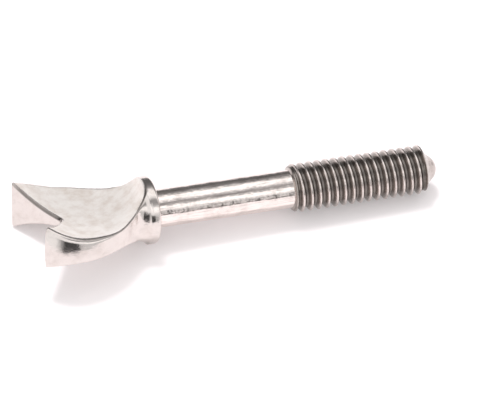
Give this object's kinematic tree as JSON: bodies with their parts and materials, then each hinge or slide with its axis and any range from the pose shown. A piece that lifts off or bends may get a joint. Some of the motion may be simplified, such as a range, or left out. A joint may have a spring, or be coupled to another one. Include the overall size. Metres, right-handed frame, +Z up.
{
  "type": "thumb screw",
  "caption": "One-piece thumb screw lying at rest: forked, dished head with a V notch, round collar, waisted shank, coarse right-hand thread and a cone point.",
  "frame": {"origin": "centre of the footprint, on the surface that the screw lies on", "axes": "+X along the screw towards its point, +Z up; the screw lies on its collar, its thread and one horn, so its own axis leans about 2 degrees down towards the point and the head is rolled about 20 degrees about it"},
  "size_m": [0.0686, 0.0216, 0.0129],
  "materials": {
    "steel": "polished stainless steel with faint turning marks"
  },
  "bodies": {
    "root": {"thumb_screw": "steel"}
  },
  "joints": []
}
